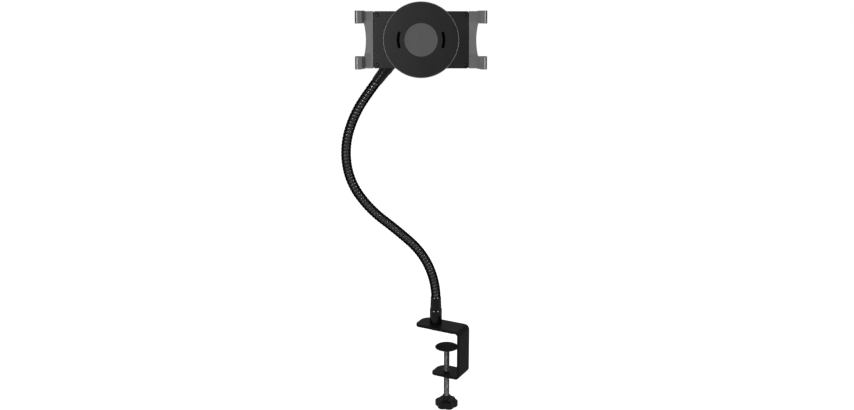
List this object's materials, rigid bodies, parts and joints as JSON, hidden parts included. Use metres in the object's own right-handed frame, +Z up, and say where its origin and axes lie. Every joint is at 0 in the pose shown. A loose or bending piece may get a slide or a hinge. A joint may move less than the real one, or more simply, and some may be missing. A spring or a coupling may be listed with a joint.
{
  "type": "gooseneck tablet desk mount",
  "caption": "Desk clamp with a bendable ribbed neck and a tilting, swivelling tablet holder with spring-drawn hook arms.",
  "frame": {"origin": "middle of the desk face of the upper jaw, on the clamp screw's axis", "axes": "+Z up; the tablet holder faces -Y and its arms open along X"},
  "size_m": [0.2163, 0.1, 0.6563],
  "materials": {
    "bar_paint": "satin black powder coat",
    "fitting_paint": "gloss black paint",
    "ferrule_paint": "satin black paint",
    "neck_paint": "gloss black paint over ribbed steel winding",
    "core_steel": "bare spring steel",
    "jaw_rubber": "matt black rubber",
    "plate_paint": "satin black paint",
    "screw_steel": "zinc-plated thread",
    "knob_plastic": "moulded black plastic",
    "fastener_steel": "zinc plate",
    "knuckle_paint": "satin black cast metal",
    "bracket_plastic": "moulded black plastic",
    "washer_plastic": "natural nylon",
    "housing_plastic": "satin black plastic with a fine grain",
    "cap_plastic": "plain grey inlay",
    "dark_screw": "black oxide",
    "gear_plastic": "natural acetal",
    "arm_plastic": "satin grey plastic",
    "grip_rubber": "fine-ribbed grey rubber",
    "spring_steel": "bare spring wire"
  },
  "bodies": {
    "clamp": {"clamp_bracket": "bar_paint", "jaw_pad": "jaw_rubber", "base_socket": "fitting_paint", "base_screw": "fastener_steel", "base_ferrule": "ferrule_paint", "neck_tube_1": "neck_paint", "neck_core_1": "core_steel"},
    "pressure_plate": {"pressure_plate": "plate_paint", "plate_pad": "jaw_rubber"},
    "clamp_screw": {"clamp_screw": "screw_steel", "screw_knob": "knob_plastic"},
    "neck_link_2": {"neck_tube_2": "neck_paint", "neck_core_2": "core_steel"},
    "neck_link_3": {"neck_tube_3": "neck_paint", "neck_core_3": "core_steel"},
    "neck_link_4": {"neck_tube_4": "neck_paint", "neck_core_4": "core_steel"},
    "neck_link_5": {"neck_tube_5": "neck_paint", "neck_core_5": "core_steel"},
    "neck_link_6": {"neck_tube_6": "neck_paint", "neck_core_6": "core_steel"},
    "neck_link_7": {"neck_tube_7": "neck_paint", "neck_core_7": "core_steel"},
    "neck_link_8": {"neck_tube_8": "neck_paint", "neck_core_8": "core_steel", "top_ferrule": "ferrule_paint", "top_socket": "fitting_paint", "tilt_knuckle": "knuckle_paint"},
    "tilt_head": {"tilt_bracket": "bracket_plastic", "tilt_washers": "washer_plastic", "tilt_nut": "fastener_steel", "friction_washer": "washer_plastic", "swivel_retainer": "fastener_steel", "swivel_screw": "fastener_steel"},
    "tilt_knob": {"tilt_bolt": "fastener_steel", "tilt_knob": "knob_plastic"},
    "holder": {"front_housing": "housing_plastic", "rear_housing": "housing_plastic", "centre_cap": "cap_plastic", "housing_screws": "dark_screw", "pinion_pin": "fastener_steel", "pinion_clip": "fastener_steel", "right_spring": "spring_steel", "left_spring": "spring_steel"},
    "pinion": {"drive_pinion": "gear_plastic"},
    "right_arm": {"right_arm": "arm_plastic", "right_grips": "grip_rubber"},
    "left_arm": {"left_arm": "arm_plastic", "left_grips": "grip_rubber"}
  },
  "joints": [
    {"name": "plate_travel", "type": "slide", "parent": "clamp", "child": "pressure_plate", "axis": [0, 0, 1], "range_m": [-0.034, 0.028]},
    {"name": "screw_turn", "type": "hinge", "parent": "pressure_plate", "child": "clamp_screw", "pos_m": [0, 0, 0], "axis": [0, 0, 1], "range_deg": [-9800, 8070]},
    {"name": "neck_bend_1", "type": "hinge", "parent": "clamp", "child": "neck_link_2", "pos_m": [-0.02778, 0.00875, 0.0992], "axis": [0, 1, 0], "range_deg": [-30, 30]},
    {"name": "neck_bend_2", "type": "hinge", "parent": "neck_link_2", "child": "neck_link_3", "pos_m": [-0.05809, 0.00875, 0.14256], "axis": [0.6807, 0, 0.7325], "range_deg": [-30, 30]},
    {"name": "neck_bend_3", "type": "hinge", "parent": "neck_link_3", "child": "neck_link_4", "pos_m": [-0.09837, 0.00875, 0.17746], "axis": [0, 1, 0], "range_deg": [-30, 30]},
    {"name": "neck_bend_4", "type": "hinge", "parent": "neck_link_4", "child": "neck_link_5", "pos_m": [-0.13435, 0.00875, 0.21652], "axis": [0.8271, 0, 0.5621], "range_deg": [-30, 30]},
    {"name": "neck_bend_5", "type": "hinge", "parent": "neck_link_5", "child": "neck_link_6", "pos_m": [-0.15315, 0.00875, 0.26588], "axis": [0, 1, 0], "range_deg": [-30, 30]},
    {"name": "neck_bend_6", "type": "hinge", "parent": "neck_link_6", "child": "neck_link_7", "pos_m": [-0.14909, 0.00875, 0.31864], "axis": [0.9598, 0, -0.2807], "range_deg": [-30, 30]},
    {"name": "neck_bend_7", "type": "hinge", "parent": "neck_link_7", "child": "neck_link_8", "pos_m": [-0.12665, 0.00875, 0.36676], "axis": [0, 1, 0], "range_deg": [-30, 30]},
    {"name": "tilt", "type": "hinge", "parent": "neck_link_8", "child": "tilt_head", "pos_m": [-0.05832, 0.00875, 0.45912], "axis": [-1, 0, 0], "range_deg": [-20, 60]},
    {"name": "tilt_knob_turn", "type": "hinge", "parent": "tilt_head", "child": "tilt_knob", "pos_m": [-0.05832, 0.00875, 0.45912], "axis": [1, 0, 0], "range_deg": [-360, 360]},
    {"name": "swivel", "type": "hinge", "parent": "tilt_head", "child": "holder", "pos_m": [-0.03982, -0.04049, 0.4678], "axis": [0, -0.9848, 0.1736], "continuous": true},
    {"name": "right_arm_slide", "type": "slide", "parent": "holder", "child": "right_arm", "axis": [1, 0, 0], "range_m": [0, 0.045], "stiffness_N_per_m": 90, "springref_m": -0.03, "deforming": ["right_spring"]},
    {"name": "left_arm_slide", "type": "slide", "parent": "holder", "child": "left_arm", "axis": [-1, 0, 0], "range_m": [0, 0.045], "deforming": ["left_spring"]},
    {"name": "pinion_turn", "type": "hinge", "parent": "holder", "child": "pinion", "pos_m": [-0.03982, -0.04049, 0.4678], "axis": [0, -0.9848, 0.1736], "range_deg": [0, 322.5]}
  ],
  "couplings": [
    {"joint": "screw_turn", "follows": "plate_travel", "rad_per_m": 5026.5},
    {"joint": "left_arm_slide", "follows": "right_arm_slide", "ratio": 1},
    {"joint": "pinion_turn", "follows": "right_arm_slide", "rad_per_m": 125}
  ]
}
